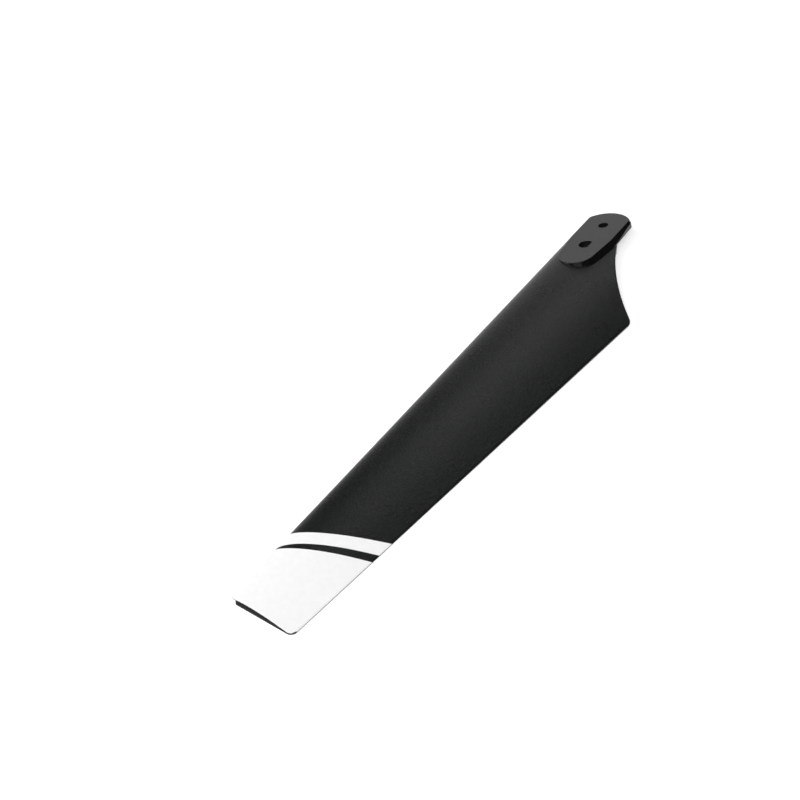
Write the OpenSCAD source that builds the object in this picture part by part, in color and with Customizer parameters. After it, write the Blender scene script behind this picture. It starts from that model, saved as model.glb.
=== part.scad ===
// Main rotor blade of a micro fixed-pitch model helicopter: one moulded plastic piece.
// It lies as it comes to rest: +X runs from the bolt hole to the tip, +Y towards the trailing edge,
// +Z up. The origin is the middle of the bolt hole. Millimetres and degrees.

/* [Blade] */
// Distance from the bolt axis to the tip, along the line of the two holes
tip_reach = 133.9; // [110:0.1:160]
// Distance from the bolt axis forward to the straight leading edge
leading_offset = 5.4; // [5.1:0.05:5.8]
// Chord at the root corner, where the trailing edge starts
root_chord = 24.55; // [22:0.05:27]
// Chord at the tip
tip_chord = 14.2; // [11:0.05:17]
// Thickness of the section over its chord, at the root corner
root_thickness_ratio = 0.111; // [0.095:0.001:0.115]
// Thickness of the section over its chord, at the tip
tip_thickness_ratio = 0.1; // [0.08:0.001:0.12]
// Place of the thickest point along the chord, at the root corner
root_crest = 0.32; // [0.25:0.005:0.38]
// Place of the thickest point along the chord, at the tip
tip_crest = 0.28; // [0.16:0.01:0.35]

/* [Tip and root outline] */
// Radius of the tip's corner at the trailing edge
tip_trailing_r = 1.3; // [0.5:0.1:3]
// Radius of the tip's corner at the leading edge
tip_leading_r = 1.6; // [0.5:0.1:3]
// Distance from the bolt axis to the root corner
root_corner_x = 25.35; // [23:0.05:29]
// Radius of the root corner
root_corner_r = 2.4; // [1:0.1:3.5]
// Radius of the hollow cut-out between the root corner and the pad
cutout_r = 53.5; // [42:0.5:80]
// Distance from the bolt axis to the cut-out's end at the pad
cutout_start_x = 4.45; // [4.2:0.05:5]
// Radius of the fillet where the cut-out runs into the pad
cutout_fillet_r = 4; // [2:0.5:6]
// Distance from the bolt axis to the root face, at the leading edge
root_face_x = 5.2; // [4.5:0.1:6]
// Distance from the bolt axis to the root face, at the pad's trailing side
root_face_back_x = 4.3; // [3.4:0.1:4.4]
// Radius of the leading edge's corner at the root
root_leading_r = 1.5; // [0.5:0.1:2]

/* [Mounting pad] */
// Angle between the pad and the blade's flat underside
pitch = 15; // [12:0.5:17]
// Thickness of the pad's tongue
pad_thickness = 1.8; // [1.6:0.1:2.2]
// Half of the width of the pad's top face at its straight sides
pad_half_width = 4.95; // [4.7:0.05:5]
// Distance that the pad's side slopes outward below its top face
pad_slope_reach = 0.27; // [0.1:0.01:0.35]
// Depth of the slope on the pad's side
pad_slope_depth = 0.75; // [0.4:0.05:1.2]
// Distance from the bolt axis to the end of the straight sides
pad_straight = 6; // [4:0.5:8]
// Radius of the pad's outer end
pad_end_r = 6.2; // [5.8:0.1:6.6]
// Distance from the bolt axis to the centre of the outer end's arc
pad_end_x = 0.6; // [0.2:0.1:1]
// Radius of the pad's outer corners
pad_corner_r = 1.2; // [0.6:0.1:1.6]
// Radius of the pad's round inboard end
pad_inner_r = 4.15; // [3.5:0.05:4.5]
// Distance from the bolt axis to the centre of the round inboard end
pad_inner_x = 12.55; // [11:0.05:15]

/* [Holes] */
// Diameter of the bolt hole, for an M2 screw
bolt_d = 2.2; // [1.8:0.1:2.6]
// Diameter of the round side of the D-shaped key hole
key_d = 3; // [2.4:0.1:3.4]
// Distance from the key hole's centre to its flat side
key_flat = 1; // [0.7:0.1:1.1]
// Depth of the key hole
key_depth = 1.2; // [0.8:0.1:1.4]
// Distance from the bolt hole to the key hole
key_spacing = 8.5; // [7.5:0.1:9.5]

/* [Hidden] */
$fn = 64;

// Shape of the section, over its thickness or its chord
nose_height = 0.36;
root_nose_underside = 0.012;
tip_nose_underside = 0.08;
trailing_thickness = 0.018;
crest_steps = 10;
rear_steps = 14;
nose_steps = 6;
span_steps = 14;

// Overlap that keeps joined and cut shapes from ending on the same face
lap = 1;
// Length that the loft runs on behind the trailing edge, where the outline cuts it
trailing_lap = 0.4;
// Depth of the pad's wall below its tongue, inside the blade
wall_lap = 0.8;
// Distance by which the slope of the pad's wall starts inside the pad's side
wall_inset = 0.04;
// Depth below the tongue at which the pad's wall meets the end of the cut-out
wall_foot = 0.4;
// Height of the tongue's lowest edge above the blade's underside
tongue_gap = 0.05;
// Greatest distance between an arc of an outline and its chords
arc_sag = 0.004;
// Angle between neighbouring points on the arcs of the pad
pad_arc_step = 4;

// Heights of the pad's top face and of the foot of its slope, over the middle of its tongue
pad_top = pad_thickness / 2;
slope_foot = pad_top - pad_slope_depth;

// Half of the width of the pad below its slope
pad_wide_half = pad_half_width + pad_slope_reach;

// Height of the bolt hole's middle above the surface that the blade lies on
rest_height = pad_wide_half * sin(pitch) + pad_top * cos(pitch) + tongue_gap;

function unit(v) = v / norm(v);
function left_of(v) = [-v.y, v.x];

// Points along the shorter arc around a centre, from a to b
function arc(centre, a, b) =
    let (
        u = a - centre,
        r = norm(u),
        turn = atan2(cross(u, b - centre), u * (b - centre)),
        steps = ceil(abs(turn) / (2 * acos(1 - arc_sag / r)))
    )
    [for (i = [0 : steps]) let (t = atan2(u.y, u.x) + turn * i / steps) centre + r * [cos(t), sin(t)]];

// Trailing edge, a straight line from the root corner to the tip, which is cut square to it
root_corner = [root_corner_x, root_chord - leading_offset];
taper = atan((root_chord - tip_chord) / (tip_reach - root_corner_x));
function trailing_y(x) = root_corner.y - (x - root_corner.x) * tan(taper);
function chord(x) = trailing_y(x) + leading_offset;
tip_leading = [tip_reach - leading_offset * tan(taper), -leading_offset];
tip_trailing_x = tip_reach + trailing_y(tip_reach) * sin(taper) * cos(taper);
tip_trailing = [tip_trailing_x, trailing_y(tip_trailing_x)];
trailing_dir = unit(tip_trailing - root_corner);
tip_dir = unit(tip_leading - tip_trailing);

// Hollow arc of the cut-out, from the pad's trailing side to the root corner, seen from above
pad_side_y = pad_wide_half * cos(pitch) + (pad_top + wall_foot) * sin(pitch);
cutout_start = [cutout_start_x, pad_side_y];
cutout_span = root_corner - cutout_start;
cutout_rise = sqrt(pow(cutout_r, 2) - pow(norm(cutout_span) / 2, 2));
cutout_centre = (cutout_start + root_corner) / 2 + left_of(unit(cutout_span)) * cutout_rise;

// Point on the cut-out's arc that lies towards p
function on_cutout(p) = cutout_centre + unit(p - cutout_centre) * cutout_r;

// Point on a line through p, at a given distance from the centre of the cut-out
function at_distance(p, dir, distance) =
    let (along = (p - cutout_centre) * dir)
    p + dir * (sqrt(pow(along, 2) - pow(norm(p - cutout_centre), 2) + pow(distance, 2)) - along);

// Centres of the circles that round off the two ends of the cut-out
fillet_centre = at_distance(cutout_start + [0, cutout_fillet_r], [1, 0], cutout_r - cutout_fillet_r);
corner_centre = at_distance(root_corner - left_of(trailing_dir) * root_corner_r, trailing_dir,
    cutout_r + root_corner_r);

// Root face under the pad, square to it, from the leading edge to the pad's trailing side
root_leading = [root_face_x, -leading_offset];
root_trailing = [root_face_back_x, pad_half_width];
root_dir = unit(root_trailing - root_leading);
root_start = root_face_back_x - 2 * lap;

// Points that round the corner p between two straight sides, from the first side to the second
function rounding(p, dir_a, dir_b, r) =
    let (half = acos(dir_a * dir_b) / 2, reach = r / tan(half))
    arc(p + unit(dir_a + dir_b) * r / sin(half), p + dir_a * reach, p + dir_b * reach);

// Value between its root and its tip size, at a distance x from the bolt axis
function blend(root, tip, x) =
    root + (tip - root) * min(1, max(0, (x - root_corner.x) / (tip_reach - root_corner.x)));

// One section as [y, z] points, from the trailing edge over the top and back underneath
function section(x) =
    let (
        c = chord(x),
        t = c * blend(root_thickness_ratio, tip_thickness_ratio, x),
        crest = blend(root_crest, tip_crest, x),
        nose_z = nose_height * t,
        underside = blend(root_nose_underside, tip_nose_underside, x),
        tail_z = trailing_thickness * c,
        rear = [for (i = [rear_steps : -1 : 1])
            let (q = i / rear_steps)
            [crest + (1 - crest) * q, tail_z + (t - tail_z) * cos(90 * q)]],
        end = rear[0] + unit(rear[0] - rear[1]) * trailing_lap / c,
        front = [for (i = [crest_steps : -1 : 0])
            let (a = 90 * i / crest_steps)
            [crest * (1 - cos(a)), nose_z + (t - nose_z) * sin(a)]],
        under = [for (i = [1 : nose_steps])
            let (a = 90 * i / nose_steps)
            [underside * (1 - cos(a)), nose_z * (1 - sin(a))]]
    )
    [for (p = concat([end], [for (i = [1 : rear_steps - 1]) rear[i]], front, under, [[end[0], 0]]))
        [p[0] * c - leading_offset, p[1] - rest_height]];

// Sections joined along the span, past both ends of the blade
module blade_loft() {
    length = tip_trailing.x + lap;
    rings = [for (k = [0 : span_steps])
        let (x = length * k / span_steps)
        [for (p = section(x)) [x, p[0], p[1]]]];
    n = len(rings[0]);
    sides = [for (k = [0 : span_steps - 1], i = [0 : n - 1])
        let (a = k * n + i, b = k * n + (i + 1) % n)
        each [[a, b + n, b], [a, a + n, b + n]]];
    root_cap = [for (i = [0 : n - 1]) i];
    tip_cap = [for (i = [n - 1 : -1 : 0]) span_steps * n + i];
    polyhedron([for (r = rings) each r], concat(sides, [root_cap, tip_cap]));
}

// Outline of the blade, seen from above. It is wider than the blade in front, because the loft makes
// the leading edge, and longer at the root, where the root face cuts it.
module blade_outline() {
    fillet_end = on_cutout(fillet_centre);
    corner_start = on_cutout(corner_centre);
    tip_front = rounding(tip_leading, -tip_dir, [-1, 0], tip_leading_r);
    front = -leading_offset - lap;
    cutout = arc(cutout_centre, fillet_end, corner_start);
    polygon(concat(
        [[root_start, pad_side_y]],
        arc(fillet_centre, [fillet_centre.x, pad_side_y], fillet_end),
        [for (i = [1 : len(cutout) - 2]) cutout[i]],
        arc(corner_centre, corner_start, corner_centre + left_of(trailing_dir) * root_corner_r),
        rounding(tip_trailing, -trailing_dir, tip_dir, tip_trailing_r),
        tip_front,
        [[tip_front[len(tip_front) - 1].x, front], [root_start, front]]));
}

// Points along an arc around a centre, from one angle down to another
function sweep(centre, r, from, to) =
    let (steps = ceil((from - to) / pad_arc_step))
    [for (i = [0 : steps]) let (t = from + (to - from) * i / steps) centre + r * [cos(t), sin(t)]];

// Outline of the mounting pad, in its own plane, at a given distance outside its top face: an arched
// outer end, straight sides and a round inboard end
function pad_outline(out) =
    let (
        end = [pad_end_x, 0],
        inner = [pad_inner_x, 0],
        corner_y = pad_half_width - pad_corner_r,
        corner = [end.x - sqrt(pow(pad_end_r - pad_corner_r, 2) - pow(corner_y, 2)), corner_y],
        turn = atan2(corner.y, corner.x - end.x),
        side = [pad_straight, pad_half_width],
        touch = atan2(side.y, side.x - inner.x) - acos(pad_inner_r / norm(side - inner)),
        corner_arc = sweep(corner, pad_corner_r + out, turn, 90),
        half = concat(
            sweep(end, pad_end_r + out, 180, turn),
            [for (i = [1 : len(corner_arc) - 1]) corner_arc[i]],
            [side + out * [tan((90 - touch) / 2), 1]],
            sweep(inner, pad_inner_r + out, touch, 0))
    )
    concat(half, [for (i = [len(half) - 2 : -1 : 1]) [half[i].x, -half[i].y]]);

// Solid between outlines of the pad, given as distances outside its top face and heights, from below
module pad_solid(levels) {
    rings = [for (level = levels) [for (p = pad_outline(level[0])) [p.x, p.y, level[1]]]];
    n = len(rings[0]);
    last = len(levels) - 1;
    sides = [for (k = [0 : last - 1], i = [0 : n - 1])
        let (a = k * n + i, b = k * n + (i + 1) % n)
        [a, b, b + n, a + n]];
    floor_face = [for (i = [n - 1 : -1 : 0]) i];
    top_face = [for (i = [0 : n - 1]) last * n + i];
    polyhedron([for (r = rings) each r], concat(sides, [floor_face, top_face]));
}

// The pad from its flat underside up to the foot of the slope, and the slope up to its top face
module pad() {
    rotate([pitch, 0, 0])
        pad_solid([[pad_slope_reach, -pad_top], [pad_slope_reach, slope_foot], [0, pad_top]]);
}

// Trailing half of the pad's inboard part, which slopes on down into the blade
module pad_wall() {
    start = pad_slope_reach - wall_inset;
    depth = slope_foot + pad_top + wall_lap;
    reach = start + depth * pad_slope_reach / pad_slope_depth;
    length = pad_inner_x + pad_inner_r;
    rotate([pitch, 0, 0]) intersection() {
        pad_solid([[reach, slope_foot - depth], [start, slope_foot]]);
        translate([root_start, 0, slope_foot - depth - lap]) cube([length, length, depth + 2 * lap]);
    }
}

// Space in front of the root face, where the pad's tongue is free
module root_cut() {
    corner = rounding(root_leading, [1, 0], root_dir, root_leading_r);
    back = root_trailing + root_dir * lap;
    front = -leading_offset - 2 * lap;
    rotate([pitch, 0, 0])
        linear_extrude(6 * rest_height, center = true)
            polygon(concat([[0, back.y], [0, front], [corner[0].x, front]], corner, [back]));
}

module blade_body() {
    thickest = chord(0) * root_thickness_ratio;
    difference() {
        intersection() {
            union() {
                blade_loft();
                pad_wall();
            }
            translate([0, 0, -rest_height - lap]) linear_extrude(thickest + 2 * lap) blade_outline();
        }
        root_cut();
    }
}

// D-shaped blind hole that keys the blade to its holder, standing on its floor
module key_hole() {
    depth = key_depth + lap;
    intersection() {
        cylinder(d = key_d, h = depth);
        translate([-key_d, -key_d, 0]) cube([2 * key_d, key_d + key_flat, depth]);
    }
}

module rotor_blade() {
    color([0.11, 0.12, 0.115])
    difference() {
        union() {
            blade_body();
            pad();
        }
        rotate([pitch, 0, 0]) {
            cylinder(d = bolt_d, h = pad_thickness + 2 * lap, center = true);
            translate([key_spacing, 0, pad_top - key_depth]) key_hole();
        }
    }
}

rotor_blade();
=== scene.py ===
"""Main rotor blade of a model helicopter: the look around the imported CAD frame.

The blade is rebuilt here as a finer mesh from the same sizes as the CAD part, with small rounded
edges, and the white print is a thin coat on top of it. Sizes of the part are in millimetres until its
meshes are made. Lamps, the floor and the materials are in metres.
"""
import math

import bmesh
import bpy
import numpy as np
from mathutils import Matrix, Quaternion, Vector


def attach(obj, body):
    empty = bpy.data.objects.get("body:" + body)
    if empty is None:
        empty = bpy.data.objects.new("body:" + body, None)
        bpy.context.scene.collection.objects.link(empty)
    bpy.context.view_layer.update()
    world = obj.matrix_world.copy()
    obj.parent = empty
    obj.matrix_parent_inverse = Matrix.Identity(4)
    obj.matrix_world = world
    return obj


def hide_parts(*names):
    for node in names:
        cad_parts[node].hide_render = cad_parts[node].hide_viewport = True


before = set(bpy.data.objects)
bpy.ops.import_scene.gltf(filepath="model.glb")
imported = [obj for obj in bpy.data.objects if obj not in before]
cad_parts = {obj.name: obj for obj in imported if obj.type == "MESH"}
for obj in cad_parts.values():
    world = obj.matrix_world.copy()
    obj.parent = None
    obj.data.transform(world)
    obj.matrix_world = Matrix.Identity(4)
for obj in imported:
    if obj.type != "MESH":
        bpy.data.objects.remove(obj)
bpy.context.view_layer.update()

MM = 0.001

# Sizes of the CAD part
TIP_REACH = 133.9
LEADING = 5.4
ROOT_CHORD, TIP_CHORD = 24.55, 14.2
ROOT_RATIO, TIP_RATIO = 0.111, 0.1
ROOT_CREST, TIP_CREST = 0.32, 0.28
ROOT_UNDER, TIP_UNDER = 0.012, 0.08
NOSE, TAIL = 0.36, 0.018
TIP_TRAILING_R, TIP_LEADING_R = 1.3, 1.6
CORNER_X, CORNER_R = 25.35, 2.4
CUTOUT_R, CUTOUT_START_X, FILLET_R = 53.5, 4.45, 4.0
ROOT_FACE_X, ROOT_FACE_BACK_X, ROOT_LEADING_R = 5.2, 4.3, 1.5
PITCH = math.radians(15)
PAD_T, PAD_HALF, PAD_STRAIGHT = 1.8, 4.95, 6.0
PAD_END_R, PAD_END_X, PAD_CORNER_R = 6.2, 0.6, 1.2
SLOPE_REACH, SLOPE_DEPTH = 0.27, 0.75
PAD_INNER_R, PAD_INNER_X = 4.15, 12.55
BOLT_D, KEY_D, KEY_FLAT, KEY_DEPTH, KEY_SPACING = 2.2, 3.0, 1.0, 1.2, 8.5
WALL_FOOT = 0.4
TONGUE_GAP = 0.05
PAD_WIDE = PAD_HALF + SLOPE_REACH
PAD_SIDE_Y = PAD_WIDE * math.cos(PITCH) + (PAD_T / 2 + WALL_FOOT) * math.sin(PITCH)
REST = PAD_WIDE * math.sin(PITCH) + PAD_T / 2 * math.cos(PITCH) + TONGUE_GAP
TAPER = math.atan((ROOT_CHORD - TIP_CHORD) / (TIP_REACH - CORNER_X))

# Rounded edges of the blade: their radius, and the most of the back edge's height that one takes.
# The next two are shares of a rounding: where the upright back edge starts, and how far the middle
# of the rounding lies inside the corner. The last is the share of the ends' drop at the low back edge.
EDGE_R = 0.12
RIM_SHARE = 0.35
EDGE_LOW, EDGE_CUT = 0.9, 0.3
LOW_DROP_SHARE = 0.2

# First and last lines across the blade: distance from the end, and drop of the rounded edge there
ROUND_RUN = 1.2 * EDGE_R
ROOT_ROUND = [(0.0, EDGE_R), (0.06, 0.03), (ROUND_RUN, 0.0)]
TIP_ROUND = [(ROUND_RUN, 0.0), (0.04, 0.04), (0.0, EDGE_R)]
END_RUN = 1.6
ROOT_PLACES = [0.3, 0.5, 0.8, 1.15, END_RUN]
TIP_PLACES = [1.3, 1.0, 0.75, 0.5, 0.3]

# Lines between them: where the runs along the cut-out and round the root corner end
CUTOUT_RUN, CORNER_RUN = 22.5, 29.0
CUTOUT_LINES, CORNER_LINES, SPAN_LINES = 45, 26, 99

# Points of one line: at the back edge, from it to the crest, to the nose, and under the nose and blade
BACK_POINTS = 3
REAR_STEPS, NOSE_STEPS, UNDER_STEPS, FLAT_STEPS = 36, 14, 8, 10

# Side of the pad: radii of its roundings, the short flats beside them, the flare at its foot and the
# wall's least height. On a low wall, roundings and flare are shares of its height.
RIM_R, PARTING_R, LOW_RIM_R = 0.05, 0.03, 0.08
HOLD = 0.05
FOOT_R = 0.12
LEAST_WALL = 0.1
WALL_ROUND_SHARE, WALL_FLARE_SHARE = 0.15, 0.4

# How deep the flare and the wall's hidden end go into the blade, and where under the flare that end is
FLARE_SINK, WALL_SINK, WALL_END_SHARE = 0.004, 0.6, 0.3

# The least that the outline's outward direction counts across the blade
LEAST_ACROSS = 0.1

# The side changes from the tongue's to the wall's at the root face. The tongue's upright strip runs
# out along its trailing side, where the slope deepens.
SEAT_BEFORE, SEAT_AFTER = 0.1, 0.6
STRIP_START_X, STRIP_END_X = -2.0, 7.5
ROOT_SLOPE_DEPTH = 1.5

# Steps along the parts of the pad's outline, and in a bend of its side
PAD_END_STEPS, PAD_CORNER_STEPS, PAD_SIDE_STEPS = 18, 6, 18
PAD_TAPER_STEPS, PAD_INNER_STEPS = 14, 26
BEND_STEPS = 3

# Range along the pad's normal and down its slope in which the blade's top is looked for
SURFACE_LOW, SURFACE_HIGH, SLOPE_MOST = -3.0, 2.5, 3.0
HALVINGS = 40

# Holes: the bevel at their mouths, and how far the cutters reach past the pad
MOUTH = 0.03
OVER_TOP, OVER_LOW = 0.6, 0.9
BOLT_STEPS, KEY_STEPS = 64, 48

# Material slots of the blade: grained plastic, the smooth pad, the dull faces of the tip and the bore,
# and the printed wall of the tip's rounded leading corner
GRAIN_SLOT, PAD_SLOT, CUT_SLOT, WHITE_SLOT = 0, 1, 2, 3

# Points closer than this are merged. Edges over an angle in degrees are shaded sharp, and faces within
# one of the pad's normal are shaded flat.
MERGE = 0.0001
SHARP_ANGLE, COAT_SHARP_ANGLE, FLAT_ANGLE = 32, 40, 0.5

# Edges of the print, as distances from the bolt along the blade at places across it
STRIPE_IN = [(-5.4, 115.0), (-2.5, 113.4), (1.1, 111.65), (4.7, 110.0), (8.3, 108.2), (11.6, 106.8)]
GAP_IN = [(-5.4, 119.6), (-5.1, 118.9), (-4.5, 118.2), (-3.45, 117.4), (-1.55, 116.3), (1.25, 114.8),
          (4.15, 113.4), (7.15, 112.2), (10.05, 110.9), (11.45, 110.4)]
GAP_OUT = [(-5.4, 119.6), (-3.75, 118.7), (-1.55, 117.7), (0.65, 116.8), (3.65, 115.5), (6.55, 114.2),
           (9.55, 113.1), (11.15, 112.6)]

# How far the coat stands proud. It ends on the rounded back edge: shares of the rounding inward and
# down, and how far the coat leans back there.
PRINT_T = 0.02
COAT_BACK = [(0.3, 0.3, math.radians(35)), (0.2, 0.53, math.radians(50))]

# Passes that place a point of the coat, the share of the chord over which the slope is read, and the
# steps across and along each field
COAT_PASSES = 6
SHARE_STEP = 0.0005
STRIPE_GRID, TIP_GRID = (48, 10), (64, 40)


def unit(v):
    return v / np.linalg.norm(v)


def left_of(v):
    return np.array([-v[1], v[0]])


def mix(a, b, f):
    return a + (b - a) * f


def clamp(f):
    return min(1.0, max(0.0, f))


def smooth(a, b, x):
    """Smooth step from 0 at a to 1 at b."""
    f = clamp((x - a) / (b - a))
    return f * f * (3 - 2 * f)


def bisect(low, high, holds):
    """The value between low and high up to which a test holds."""
    for _ in range(HALVINGS):
        middle = (low + high) / 2
        if holds(middle):
            low = middle
        else:
            high = middle
    return low


def inset(d, r):
    """How far a corner of radius r lies inside its side, at a distance d from the end."""
    return r - math.sqrt(max(0.0, r * r - (r - d) ** 2)) if d < r else 0.0


# The blade's outline in plan
def trailing_y(x):
    return ROOT_CHORD - LEADING - (x - CORNER_X) * math.tan(TAPER)


def chord(x):
    return trailing_y(x) + LEADING


def at_distance(p, d, distance):
    """The point on the line from p along d that lies at a distance from the cut-out's middle."""
    along = float((p - CUTOUT_C) @ d)
    square = float((p - CUTOUT_C) @ (p - CUTOUT_C))
    return p + d * (math.sqrt(along ** 2 - square + distance ** 2) - along)


def cutout_middle():
    """Middle of the cut-out's arc, from the pad's side to the root corner."""
    reach = ROOT_CORNER - CUTOUT_START
    rise = math.sqrt(CUTOUT_R ** 2 - (np.linalg.norm(reach) / 2) ** 2)
    return (CUTOUT_START + ROOT_CORNER) / 2 + left_of(unit(reach)) * rise


# The hollow cut-out, its fillet at the pad and the rounded root corner
ROOT_CORNER = np.array([CORNER_X, ROOT_CHORD - LEADING])
CUTOUT_START = np.array([CUTOUT_START_X, PAD_SIDE_Y])
TRAIL_DIR = np.array([math.cos(TAPER), -math.sin(TAPER)])
CUTOUT_C = cutout_middle()
FILLET_C = at_distance(CUTOUT_START + np.array([0, FILLET_R]), np.array([1.0, 0]), CUTOUT_R - FILLET_R)
CORNER_C = at_distance(ROOT_CORNER - left_of(TRAIL_DIR) * CORNER_R, TRAIL_DIR, CUTOUT_R + CORNER_R)
FILLET_END = CUTOUT_C + unit(FILLET_C - CUTOUT_C) * CUTOUT_R
CORNER_START = CUTOUT_C + unit(CORNER_C - CUTOUT_C) * CUTOUT_R
CORNER_END = CORNER_C + left_of(TRAIL_DIR) * CORNER_R

# The tip is square to the trailing edge
TIP_LE_X = TIP_REACH - LEADING * math.tan(TAPER)
TIP_TE_X = TIP_REACH + trailing_y(TIP_REACH) * math.sin(TAPER) * math.cos(TAPER)


def back_y(x):
    """Back edge of the blade in plan at a distance x from the bolt."""
    if x <= FILLET_C[0]:
        return PAD_SIDE_Y
    if x <= FILLET_END[0]:
        return FILLET_C[1] - math.sqrt(FILLET_R ** 2 - (x - FILLET_C[0]) ** 2)
    if x <= CORNER_START[0]:
        return CUTOUT_C[1] - math.sqrt(CUTOUT_R ** 2 - (x - CUTOUT_C[0]) ** 2)
    if x <= CORNER_END[0]:
        return CORNER_C[1] + math.sqrt(CORNER_R ** 2 - (x - CORNER_C[0]) ** 2)
    return trailing_y(x)


# The blade's section
def blend(root, tip, x):
    """A value that changes evenly from the root corner to the tip."""
    return mix(root, tip, clamp((x - CORNER_X) / (TIP_REACH - CORNER_X)))


def thickness(x):
    return chord(x) * blend(ROOT_RATIO, TIP_RATIO, x)


def top_height(x, s):
    """Height of the top above the table, at a share s of the chord behind the leading edge."""
    t = thickness(x)
    crest = blend(ROOT_CREST, TIP_CREST, x)
    nose, tail = NOSE * t, TAIL * chord(x)
    if s < crest:
        return nose + (t - nose) * math.sin(math.acos(max(-1.0, 1 - max(s, 0.0) / crest)))
    return tail + (t - tail) * math.cos(math.pi / 2 * min(1.0, (s - crest) / (1 - crest)))


def under_height(x, s):
    """Height of the underside above the table, which it leaves only near the nose."""
    under = blend(ROOT_UNDER, TIP_UNDER, x)
    if s >= under:
        return 0.0
    return NOSE * thickness(x) * (1 - math.sin(math.acos(1 - max(s, 0.0) / under)))


def top_z(x, y):
    return top_height(x, (y + LEADING) / chord(x)) - REST


class Line:
    """One line across the blade, with its ends trimmed by the rounded corners of the outline."""

    def __init__(self, x_le, x_te, le_inset=0.0, te_inset=0.0, drop=0.0):
        self.x_le, self.x_te, self.drop = x_le, x_te, drop
        self.s_lo = le_inset / chord(x_le)
        self.s_end = (back_y(x_te) + LEADING) / chord(x_te)
        self.s_hi = self.s_end - te_inset / chord(x_te)

    def place(self, s):
        x = mix(self.x_le, self.x_te, clamp(s / self.s_end))
        return x, s * chord(x) - LEADING


def span_lines():
    """Lines from the root to the tip, closer together round the cut-out and at both ends."""
    lines = []
    for d, drop in ROOT_ROUND + [(d, 0.0) for d in ROOT_PLACES]:
        lines.append(Line(ROOT_FACE_X + d, ROOT_FACE_BACK_X + d, inset(d, ROOT_LEADING_R), 0.0, drop))
    start_le, start_te = ROOT_FACE_X + END_RUN, ROOT_FACE_BACK_X + END_RUN
    stop_le, stop_te = TIP_LE_X - END_RUN, TIP_TE_X - END_RUN
    whole = stop_te - start_te
    runs = [(0, CUTOUT_RUN, CUTOUT_LINES), (CUTOUT_RUN, CORNER_RUN, CORNER_LINES),
            (CORNER_RUN, whole, SPAN_LINES)]
    for start, stop, count in runs:
        for step in np.linspace(start, stop, count + 1)[1:]:
            lines.append(Line(mix(start_le, stop_le, step / whole), start_te + step))
    for d, drop in [(d, 0.0) for d in TIP_PLACES] + TIP_ROUND:
        insets = inset(d, TIP_LEADING_R), inset(d, TIP_TRAILING_R)
        lines.append(Line(TIP_LE_X - d, TIP_TE_X - d, *insets, drop))
    return lines


def section(line):
    """Closed ring of points on one line: back edge, over the top to the nose, and back underneath."""
    x_mid = mix(line.x_le, line.x_te, 0.5)
    crest = blend(ROOT_CREST, TIP_CREST, x_mid)
    under = blend(ROOT_UNDER, TIP_UNDER, x_mid)
    edge = EDGE_R / chord(line.x_te)
    hi, lo = line.s_hi, line.s_lo
    ring = []

    def add(s, z):
        x, y = line.place(s)
        ring.append((x, y, z - REST))

    def top(s):
        return top_height(line.place(s)[0], s) - line.drop

    def low(s):
        return under_height(line.place(s)[0], s) + line.drop

    z_hi = top(hi)
    rim = min(EDGE_R, RIM_SHARE * z_hi)
    add(hi, rim * EDGE_LOW)
    add(hi, z_hi - rim)
    add(hi - EDGE_CUT * edge, z_hi - EDGE_CUT * rim)
    for i in range(REAR_STEPS + 1):
        s = mix(hi - edge, crest, i / REAR_STEPS)
        add(s, top(s))
    for i in range(1, NOSE_STEPS + 1):
        s = max(lo, crest * (1 - math.cos(math.pi / 2 * (1 - i / NOSE_STEPS))))
        add(s, top(s))
    for i in range(1, UNDER_STEPS + 1):
        s = max(lo, under * (1 - math.cos(math.pi / 2 * i / UNDER_STEPS)))
        add(s, low(s))
    for i in range(1, FLAT_STEPS + 1):
        s = mix(max(lo, under), hi - edge, i / FLAT_STEPS)
        add(s, low(s))
    add(hi - EDGE_CUT * edge, EDGE_CUT * rim + line.drop * LOW_DROP_SHARE)
    return ring


def new_object(name, verts, faces, face_slots=None):
    mesh = bpy.data.meshes.new(name)
    mesh.from_pydata([tuple(v) for v in verts], [], faces)
    if face_slots is not None:
        mesh.polygons.foreach_set("material_index", face_slots)
    mesh.update()
    obj = bpy.data.objects.new(name, mesh)
    bpy.context.scene.collection.objects.link(obj)
    return obj


def blade_body():
    """The blade without its pad. The print covers the nose's wall where the tip's corner is rounded."""
    rings = [section(line) for line in span_lines()]
    n = len(rings[0])
    verts = [p for ring in rings for p in ring]
    faces, slots = [], []
    nose = BACK_POINTS + REAR_STEPS + NOSE_STEPS
    gaps = len(rings) - 1
    printed = gaps - len(TIP_PLACES) - len(TIP_ROUND)
    for k in range(gaps):
        for i in range(n):
            j = (i + 1) % n
            faces.append((k * n + i, k * n + j, (k + 1) * n + j, (k + 1) * n + i))
            slots.append(WHITE_SLOT if i == nose and k >= printed else GRAIN_SLOT)
    faces.append(tuple(range(n - 1, -1, -1)))
    slots.append(GRAIN_SLOT)
    faces.append(tuple(gaps * n + i for i in range(n)))
    slots.append(CUT_SLOT)
    return new_object("blade_body", verts, faces, slots)


# The mounting pad, in its own plane: u along the blade, v across it and w along the pad's normal
def from_pad(u, v, w):
    return (u, v * math.cos(PITCH) - w * math.sin(PITCH), v * math.sin(PITCH) + w * math.cos(PITCH))


def arc_points(c, a, b, steps):
    """Points of the arc round c from a to b."""
    c, a, b = (np.array(p, float) for p in (c, a, b))
    u, v = a - c, b - c
    turn = math.atan2(u[0] * v[1] - u[1] * v[0], float(u @ v))
    start = math.atan2(u[1], u[0])
    r = np.linalg.norm(u)
    angles = [start + turn * i / steps for i in range(steps + 1)]
    return [c + r * np.array([math.cos(angle), math.sin(angle)]) for angle in angles]


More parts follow.
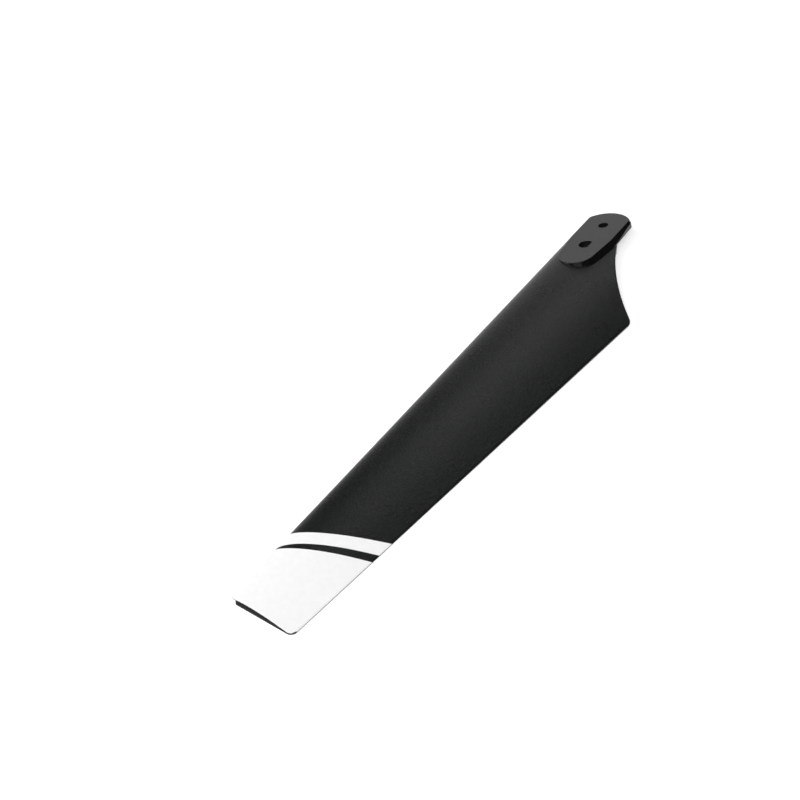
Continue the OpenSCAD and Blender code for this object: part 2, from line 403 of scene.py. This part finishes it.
def pad_half_outline():
    """Trailing half of the pad's outline, from its outer end to its inboard end."""
    end = np.array([PAD_END_X, 0.0])
    inner = np.array([PAD_INNER_X, 0.0])
    cy = PAD_HALF - PAD_CORNER_R
    corner = np.array([PAD_END_X - math.sqrt((PAD_END_R - PAD_CORNER_R) ** 2 - cy ** 2), cy])
    away = unit(corner - end)
    straight_start = np.array([corner[0], PAD_HALF])
    side = np.array([PAD_STRAIGHT, PAD_HALF])
    gap = side - inner
    touch = math.atan2(gap[1], gap[0]) - math.acos(PAD_INNER_R / np.linalg.norm(gap))
    inner_start = inner + PAD_INNER_R * np.array([math.cos(touch), math.sin(touch)])
    points = arc_points(end, end - [PAD_END_R, 0], end + away * PAD_END_R, PAD_END_STEPS)
    points += arc_points(corner, corner + away * PAD_CORNER_R, straight_start, PAD_CORNER_STEPS)[1:]
    points += [mix(straight_start, side, i / PAD_SIDE_STEPS) for i in range(1, PAD_SIDE_STEPS + 1)]
    points += [mix(side, inner_start, i / PAD_TAPER_STEPS) for i in range(1, PAD_TAPER_STEPS + 1)]
    points += arc_points(inner, inner_start, inner + [PAD_INNER_R, 0], PAD_INNER_STEPS)[1:]
    return points


def surface_w(u, v):
    """Height along the pad's normal at which the line through (u, v) leaves the blade's top."""
    def inside(w):
        x, y, z = from_pad(u, v, w)
        return z < top_z(x, y)

    return bisect(SURFACE_LOW, SURFACE_HIGH, inside)


def slope_foot(p, normal, down):
    """How far down its slope the pad's wall reaches the blade's top, at one point of its outline."""
    def above(t):
        return PAD_T / 2 + down[1] * t > surface_w(*(p + normal * down[0] * t))

    return bisect(0.0, SLOPE_MOST, above)


def bend(a, b, c):
    """Points of a smooth bend from a to c, with its corner at b."""
    a, b, c = (np.array(v, float) for v in (a, b, c))
    shares = [i / BEND_STEPS for i in range(BEND_STEPS + 1)]
    return [tuple((1 - f) ** 2 * a + 2 * f * (1 - f) * b + f * f * c) for f in shares]


def back_room(p, normal, w):
    """Distance from the pad's outline out to the blade's back edge, at a height w."""
    side = (back_y(p[0]) - EDGE_R / 4 + w * math.sin(PITCH)) / math.cos(PITCH)
    return (side - p[1]) / max(normal[1], LEAST_ACROSS)


def pad_profile(p, normal):
    """Side of the pad at one point of its outline: distances outward and heights, from the top down."""
    top, bottom = PAD_T / 2, -PAD_T / 2
    down = unit(np.array([SLOPE_REACH, -SLOPE_DEPTH]))
    start = np.array([0, top])
    trailing = p[1] > 0
    root_x = ROOT_FACE_BACK_X if trailing else ROOT_FACE_X
    deepening = (p[0] - STRIP_START_X) / (root_x - STRIP_START_X) if trailing else 0.0
    depth = mix(SLOPE_DEPTH, ROOT_SLOPE_DEPTH, clamp(deepening))
    side = SLOPE_REACH * depth / SLOPE_DEPTH
    parting = math.hypot(side, depth)

    def slope(t):
        return tuple(start + down * t)

    rim = [(-RIM_R - HOLD, top)] + bend((-RIM_R, top), start, slope(RIM_R))
    upright = slope(parting)[1] - PARTING_R
    free = rim + [slope(RIM_R + HOLD), slope(parting - PARTING_R - HOLD), slope(parting - PARTING_R)]
    free += [(side, z) for z in (upright, upright - HOLD, bottom + LOW_RIM_R + HOLD)]
    free += bend((side, bottom + LOW_RIM_R), (side, bottom), (side - LOW_RIM_R, bottom))
    free += [(side - LOW_RIM_R - HOLD, bottom)]
    seated = smooth(root_x - SEAT_BEFORE, root_x + SEAT_AFTER, p[0])
    if seated == 0:
        return free
    foot = max(slope_foot(p, normal, down), RIM_R + 3 * HOLD + LEAST_WALL)
    run_out = smooth(root_x, STRIP_END_X, p[0]) if trailing else 1.0
    ridge = mix(min(parting, foot - LEAST_WALL), foot - LEAST_WALL, run_out)
    o, w = slope(ridge)
    low = min(surface_w(*(p + normal * o)), w - LEAST_WALL)
    height = w - low
    r = min(PARTING_R, WALL_ROUND_SHARE * height)
    hold = min(HOLD, WALL_ROUND_SHARE * height)
    reach = min(FOOT_R, WALL_FLARE_SHARE * height)
    out = min(surface_w(*(p + normal * (o + reach))), low)
    held = rim + [slope(RIM_R + HOLD), slope(ridge - r - hold), slope(ridge - r)]
    held += [(o, z) for z in (w - r, w - r - hold, low + reach + hold / 2)]
    held += bend((o, low + reach), (o, low), (o + reach, out - FLARE_SINK))
    held += [(o + WALL_END_SHARE * reach, min(bottom, out - WALL_SINK) if trailing else bottom)]
    if trailing:
        held = [(min(o, back_room(p, normal, w)), w) for o, w in held]
    return [tuple(mix(np.array(a), np.array(b), seated)) for a, b in zip(free, held)]


def mounting_pad():
    """The pad as a closed mesh. Its two halves mirror each other in plan, so rungs close its faces."""
    half = pad_half_outline()
    n = len(half)
    outline = half + [np.array([p[0], -p[1]]) for p in half[-2:0:-1]]
    m = len(outline)
    rings = []
    for i, p in enumerate(outline):
        normal = left_of(unit(outline[(i + 1) % m] - outline[i - 1]))
        rings.append([from_pad(*(p + normal * o), w) for o, w in pad_profile(p, normal)])
    k = len(rings[0])
    verts = [v for ring in rings for v in ring]
    faces, slots = [], []
    for i in range(m):
        j = (i + 1) % m
        for r in range(k - 1):
            faces.append((i * k + r, j * k + r, j * k + r + 1, i * k + r + 1))
            slots.append(PAD_SLOT)
    for r, flip in ((0, False), (k - 1, True)):
        for a in range(n - 1):
            b = a + 1
            c, d = (m - b) % m, (m - a) % m
            face = [v * k + r for v in dict.fromkeys((a, b, c, d))]
            faces.append(tuple(face if flip else face[::-1]))
            slots.append(GRAIN_SLOT if flip else PAD_SLOT)
    return new_object("mounting_pad", verts, faces, slots)


# The holes
def mitre(before, p, after):
    """Step at a corner of an outline that moves both its sides outward by one."""
    a, b = -left_of(unit(p - before)), -left_of(unit(after - p))
    return (a + b) / (1 + float(a @ b))


def cutter(name, outline, low_levels, slot):
    """Closed cutter with the given outline in the pad's plane, flared where it leaves the pad's top.

    low_levels are the distances outward and the heights of its lower rings.
    """
    m = len(outline)
    levels = [(MOUTH + OVER_TOP, PAD_T / 2 + OVER_TOP), (0.0, PAD_T / 2 - MOUTH)] + low_levels
    verts, faces = [], []
    for o, w in levels:
        for i in range(m):
            step = mitre(outline[i - 1], outline[i], outline[(i + 1) % m])
            verts.append(from_pad(*(outline[i] + step * o), w))
    for r in range(len(levels) - 1):
        for i in range(m):
            j = (i + 1) % m
            faces.append((r * m + i, (r + 1) * m + i, (r + 1) * m + j, r * m + j))
    faces.append(tuple(range(m)))
    last = (len(levels) - 1) * m
    faces.append(tuple(last + i for i in range(m - 1, -1, -1)))
    return new_object(name, verts, faces, [slot] * len(faces))


def bolt_cutter():
    angles = np.linspace(0, 2 * math.pi, BOLT_STEPS + 1)[:-1]
    outline = [BOLT_D / 2 * np.array([math.cos(a), math.sin(a)]) for a in angles]
    low_levels = [(0.0, -PAD_T / 2 + MOUTH), (MOUTH + OVER_LOW, -PAD_T / 2 - OVER_LOW)]
    return cutter("bolt_cutter", outline, low_levels, CUT_SLOT)


def key_cutter():
    r = KEY_D / 2
    start = math.asin(KEY_FLAT / r)
    angles = np.linspace(math.pi - start, 2 * math.pi + start, KEY_STEPS + 1)
    outline = [np.array([KEY_SPACING + r * math.cos(a), r * math.sin(a)]) for a in angles]
    return cutter("key_cutter", outline, [(0.0, PAD_T / 2 - KEY_DEPTH)], GRAIN_SLOT)


# Joining and finishing the meshes
def tidy_mesh(obj):
    """Merges points that fall together and turns all faces outward."""
    bm = bmesh.new()
    bm.from_mesh(obj.data)
    bmesh.ops.remove_doubles(bm, verts=bm.verts, dist=MERGE)
    bmesh.ops.recalc_face_normals(bm, faces=bm.faces)
    bm.to_mesh(obj.data)
    bm.free()


def boolean(target, other, operation):
    modifier = target.modifiers.new("join", "BOOLEAN")
    modifier.operation = operation
    modifier.object = other
    modifier.solver = "EXACT"
    modifier.material_mode = "INDEX"
    bpy.context.view_layer.update()
    result = bpy.data.meshes.new_from_object(target.evaluated_get(bpy.context.evaluated_depsgraph_get()))
    target.modifiers.clear()
    old = target.data
    target.data = result
    bpy.data.meshes.remove(old)
    bpy.data.objects.remove(other, do_unlink=True)
    tidy_mesh(target)


def to_metres(obj):
    obj.data.transform(Matrix.Scale(MM, 4))


def shade(obj, angle):
    obj.data.shade_smooth()
    obj.data.set_sharp_from_angle(angle=math.radians(angle))


def flatten_pad_top(obj):
    """Shades the pad's flat top face as one plane."""
    up = Vector(from_pad(0, 0, 1))
    for face in obj.data.polygons:
        if face.normal.dot(up) > math.cos(math.radians(FLAT_ANGLE)):
            face.use_smooth = False


def build_blade():
    blade = blade_body()
    pad, bolt, key = mounting_pad(), bolt_cutter(), key_cutter()
    for obj in (blade, pad, bolt, key):
        tidy_mesh(obj)
    boolean(blade, pad, "UNION")
    boolean(blade, bolt, "DIFFERENCE")
    boolean(blade, key, "DIFFERENCE")
    to_metres(blade)
    blade.name = "moulded_blade"
    return blade


# The print
def edge_curve(points):
    """Smooth curve near the points of one edge of the print, which may start steeply at the nose."""
    def terms(y):
        q = max(0.0, y + LEADING)
        return np.array([1.0, math.sqrt(q), q, q * q])

    fit = np.linalg.lstsq(np.array([terms(y) for y, _ in points]), [x for _, x in points], rcond=None)[0]
    return lambda y: float(terms(y) @ fit)


def tip_x(y):
    """The print's edge at the tip, inside its rounded corners and edge."""
    x_line = TIP_TE_X - (trailing_y(TIP_TE_X) - y) * math.tan(TAPER)
    from_back = (trailing_y(x_line) - y) * math.cos(TAPER)
    d = max(inset(from_back, TIP_TRAILING_R), inset(y + LEADING, TIP_LEADING_R))
    return x_line - d - EDGE_R / 2


def coat_top(x, f):
    """Point of the coat on the blade's top, and its direction outward, at a share f of the way back."""
    c = chord(x)
    s = f * (1 - EDGE_R / c)
    rise = top_height(x, s + SHARE_STEP) - top_height(x, max(0.0, s - SHARE_STEP))
    out = unit(np.array([-rise, c * (SHARE_STEP + min(s, SHARE_STEP))]))
    return s * c - LEADING, top_height(x, s), out


def coat_back(x, inside, drop, lean):
    """Point of the coat on the rounded back edge: its share of the rounding and of the edge's height."""
    tail = top_height(x, 1.0)
    rim = min(EDGE_R, RIM_SHARE * tail)
    out = np.array([math.sin(lean), math.cos(lean)])
    return trailing_y(x) - inside * EDGE_R, tail - drop * rim, out


def print_coat(name, left, right, steps, along):
    """Thin coat on the blade's top between two edges, with a top, an underside and a rim."""
    shares = [1 - math.cos(math.pi / 2 * i / steps) for i in range(steps + 1)]
    rows = [lambda x, f=f: coat_top(x, f) for f in shares]
    rows += [lambda x, at=at: coat_back(x, *at) for at in COAT_BACK]
    across = len(rows) - 1
    top, under = [], []
    for row in rows:
        for k in range(along + 1):
            x = mix(left(0.0), right(0.0), k / along)
            for _ in range(COAT_PASSES):
                y = row(x)[0]
                x = mix(left(y), right(y), k / along)
            y, z, n = row(x)
            top.append((x, y + n[0] * PRINT_T, z - REST + n[1] * PRINT_T))
            under.append((x, y - n[0] * PRINT_T, z - REST - n[1] * PRINT_T))
    w = along + 1
    count = len(top)
    faces = []
    for i in range(across):
        for k in range(along):
            a = i * w + k
            faces.append((a, a + 1, a + w + 1, a + w))
            faces.append(tuple(count + v for v in (a, a + w, a + w + 1, a + 1)))
    border = [k for k in range(along)] + [i * w + along for i in range(across)]
    border += [across * w + k for k in range(along, 0, -1)] + [i * w for i in range(across, 0, -1)]
    for a, b in zip(border, border[1:] + border[:1]):
        faces.append((b, a, count + a, count + b))
    obj = new_object(name, top + under, faces)
    tidy_mesh(obj)
    to_metres(obj)
    shade(obj, COAT_SHARP_ANGLE)
    return obj


# Materials
RAMP_ENDS = (0.3, 0.7)
PATCH_DETAIL, PATCH_ROUGHNESS = 3, 0.5
GRAIN_DETAIL, GRAIN_ROUGHNESS = 3, 0.6
FLOOR_SHADE, FLOOR_GLOW = 0.8, 0.5


def empty_material(name):
    material = bpy.data.materials.new(name)
    material.use_nodes = True
    material.node_tree.nodes.clear()
    return material, material.node_tree


def noise(tree, scale, detail, roughness):
    coords = tree.nodes.new("ShaderNodeTexCoord")
    node = tree.nodes.new("ShaderNodeTexNoise")
    node.inputs["Scale"].default_value = scale
    node.inputs["Detail"].default_value = detail
    node.inputs["Roughness"].default_value = roughness
    tree.links.new(coords.outputs["Object"], node.inputs["Vector"])
    return node.outputs["Fac"]


def ramp(tree, source, ends, at_low, at_high):
    node = tree.nodes.new("ShaderNodeValToRGB")
    node.color_ramp.elements[0].position = ends[0]
    node.color_ramp.elements[1].position = ends[1]
    node.color_ramp.elements[0].color = (*at_low, 1)
    node.color_ramp.elements[1].color = (*at_high, 1)
    tree.links.new(source, node.inputs[0])
    return node.outputs[0]


def plastic(name, mottle, dark, light, patch, rough, grain, specular=0.5, ends=RAMP_ENDS):
    """Plastic with a mottled colour, patches of other roughness and a fine grain.

    mottle is the scale, detail and roughness of the colour's noise, patch the scale of the patches,
    rough their lowest and highest roughness, and grain its scale, depth and strength.
    """
    material, tree = empty_material(name)
    shader = tree.nodes.new("ShaderNodeBsdfPrincipled")
    shader.inputs["Specular IOR Level"].default_value = specular
    colour = ramp(tree, noise(tree, *mottle), ends, dark, light)
    tree.links.new(colour, shader.inputs["Base Color"])
    patches = noise(tree, patch, PATCH_DETAIL, PATCH_ROUGHNESS)
    tree.links.new(ramp(tree, patches, RAMP_ENDS, *[(r, r, r) for r in rough]), shader.inputs["Roughness"])
    scale, depth, strength = grain
    bump = tree.nodes.new("ShaderNodeBump")
    bump.inputs["Distance"].default_value = depth
    bump.inputs["Strength"].default_value = strength
    tree.links.new(noise(tree, scale, GRAIN_DETAIL, GRAIN_ROUGHNESS), bump.inputs["Height"])
    tree.links.new(bump.outputs[0], shader.inputs["Normal"])
    out = tree.nodes.new("ShaderNodeOutputMaterial")
    tree.links.new(shader.outputs[0], out.inputs[0])
    return material


def floor_material():
    """Pale floor that looks white to the camera and keeps the shadow."""
    material, tree = empty_material("pale_floor")
    diffuse = tree.nodes.new("ShaderNodeBsdfDiffuse")
    diffuse.inputs["Color"].default_value = (FLOOR_SHADE, FLOOR_SHADE, FLOOR_SHADE, 1)
    glow = tree.nodes.new("ShaderNodeEmission")
    glow.inputs["Strength"].default_value = FLOOR_GLOW
    both = tree.nodes.new("ShaderNodeAddShader")
    tree.links.new(diffuse.outputs[0], both.inputs[0])
    tree.links.new(glow.outputs[0], both.inputs[1])
    path = tree.nodes.new("ShaderNodeLightPath")
    seen = path.outputs["Is Camera Ray"]
    for kind in ("Is Glossy Ray", "Is Transmission Ray"):
        add = tree.nodes.new("ShaderNodeMath")
        add.operation = "ADD"
        add.use_clamp = True
        tree.links.new(seen, add.inputs[0])
        tree.links.new(path.outputs[kind], add.inputs[1])
        seen = add.outputs[0]
    choose = tree.nodes.new("ShaderNodeMixShader")
    tree.links.new(seen, choose.inputs[0])
    tree.links.new(diffuse.outputs[0], choose.inputs[1])
    tree.links.new(both.outputs[0], choose.inputs[2])
    out = tree.nodes.new("ShaderNodeOutputMaterial")
    tree.links.new(choose.outputs[0], out.inputs[0])
    return material


grained = plastic(
    "black_moulded_plastic", mottle=(1500, 4, 0.65), dark=(0.0022, 0.0029, 0.0027),
    light=(0.009, 0.0105, 0.0102), patch=90, rough=(0.26, 0.31), grain=(2600, 0.00005, 0.9))
smooth_pad = plastic(
    "smooth_pad_plastic", mottle=(700, 3, 0.5), dark=(0.003, 0.0034, 0.0033),
    light=(0.0042, 0.0047, 0.0045), patch=160, rough=(0.1, 0.13), grain=(4200, 0.000004, 0.3), specular=0.32)
dull_cut = plastic(
    "dull_cut_plastic", mottle=(900, 3, 0.5), dark=(0.003, 0.0034, 0.0034),
    light=(0.0046, 0.0052, 0.0051), patch=300, rough=(0.45, 0.55), grain=(3200, 0.00001, 0.3), specular=0.1)
white = plastic(
    "white_pad_print", mottle=(900, 3, 0.5), dark=(0.86, 0.86, 0.86), light=(0.9, 0.9, 0.9),
    patch=200, rough=(0.5, 0.6), grain=(3200, 0.00001, 0.3), ends=(0.25, 0.75))

# The part
blade = build_blade()
for material in (grained, smooth_pad, dull_cut, white):
    blade.data.materials.append(material)
shade(blade, SHARP_ANGLE)
flatten_pad_top(blade)
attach(blade, "root")
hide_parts("rotor_blade")

stripe = print_coat("stripe_print", edge_curve(STRIPE_IN), edge_curve(GAP_IN), *STRIPE_GRID)
tip = print_coat("tip_print", edge_curve(GAP_OUT), tip_x, *TIP_GRID)
for coat in (stripe, tip):
    coat.data.materials.append(white)
    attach(coat, "root")

# Floor and world
FLOOR_SIZE = 6
FLOOR_GAP = 0.02
WORLD_STRENGTH = 0.03

bpy.ops.mesh.primitive_plane_add(size=FLOOR_SIZE, location=(0, 0, -(REST + FLOOR_GAP) * MM))
floor = bpy.context.object
floor.name = "floor"
floor.data.materials.append(floor_material())

scene = bpy.context.scene
scene.view_settings.view_transform = "Standard"
world = bpy.data.worlds.new("studio")
scene.world = world
world.use_nodes = True
world.node_tree.nodes["Background"].inputs["Color"].default_value = (1, 1, 1, 1)
world.node_tree.nodes["Background"].inputs["Strength"].default_value = WORLD_STRENGTH

# Where the photograph was taken from: the blade's heading on the table and the bolt's place on it.
# The focal length and the shift of the picture's middle are in pixels.
ELEVATION = math.radians(39.5)
DISTANCE = 355.0
HEADING = math.radians(-121.49)
BOLT_AT = Vector((44.598, 56.303))
PICTURE = 800
SENSOR = 36
FOCAL_PX = 1810
SHIFT_X_PX, SHIFT_Y_PX = -0.5, 0.15
CLIP_START = 0.01


def to_blade(x, y, z):
    """A point of the photographed table, in the blade's frame and in metres."""
    p = Vector((x, y)) - BOLT_AT
    cos, sin = math.cos(HEADING), math.sin(HEADING)
    return Vector((p.x * cos + p.y * sin, -p.x * sin + p.y * cos, z - REST)) * MM


def area_light(name, place, width, height, power, aim=(0, 0, 0), roll=0.0):
    light = bpy.data.lights.new(name, "AREA")
    light.shape = "RECTANGLE"
    light.size = width
    light.size_y = height
    light.energy = power
    obj = bpy.data.objects.new(name, light)
    scene.collection.objects.link(obj)
    obj.location = to_blade(*place)
    turn = (to_blade(*aim) - obj.location).to_track_quat("-Z", "Y")
    obj.rotation_euler = (turn @ Quaternion((0, 0, 1), roll)).to_euler()


# Lamps: place over the photographed table in millimetres, width and height in metres, and power
area_light("back_screen", (0, 900, 158), 1.8, 0.315, 1.65, aim=(0, 0, 158))
area_light("side_screen", (150, 900, 400), 0.5, 0.16, 0.15)
area_light("back_panel", (135, 630, 645), 0.19, 0.36, 0.205, roll=math.radians(-40))
area_light("key_light", (-620, -160, 560), 0.7, 0.7, 6.2)
area_light("front_light", (80, -520, 780), 0.8, 0.8, 6.5)
area_light("front_fill", (-140, -790, 290), 0.7, 0.3, 0.4)

camera = bpy.data.cameras.new("camera")
camera.lens = FOCAL_PX / PICTURE * SENSOR
camera.sensor_width = SENSOR
camera.clip_start = CLIP_START
camera.shift_x = SHIFT_X_PX / PICTURE
camera.shift_y = SHIFT_Y_PX / PICTURE
view = bpy.data.objects.new("camera", camera)
scene.collection.objects.link(view)
view.location = to_blade(0, -DISTANCE * math.cos(ELEVATION), DISTANCE * math.sin(ELEVATION))
view.rotation_euler = (to_blade(0, 0, 0) - view.location).to_track_quat("-Z", "Y").to_euler()
scene.camera = view
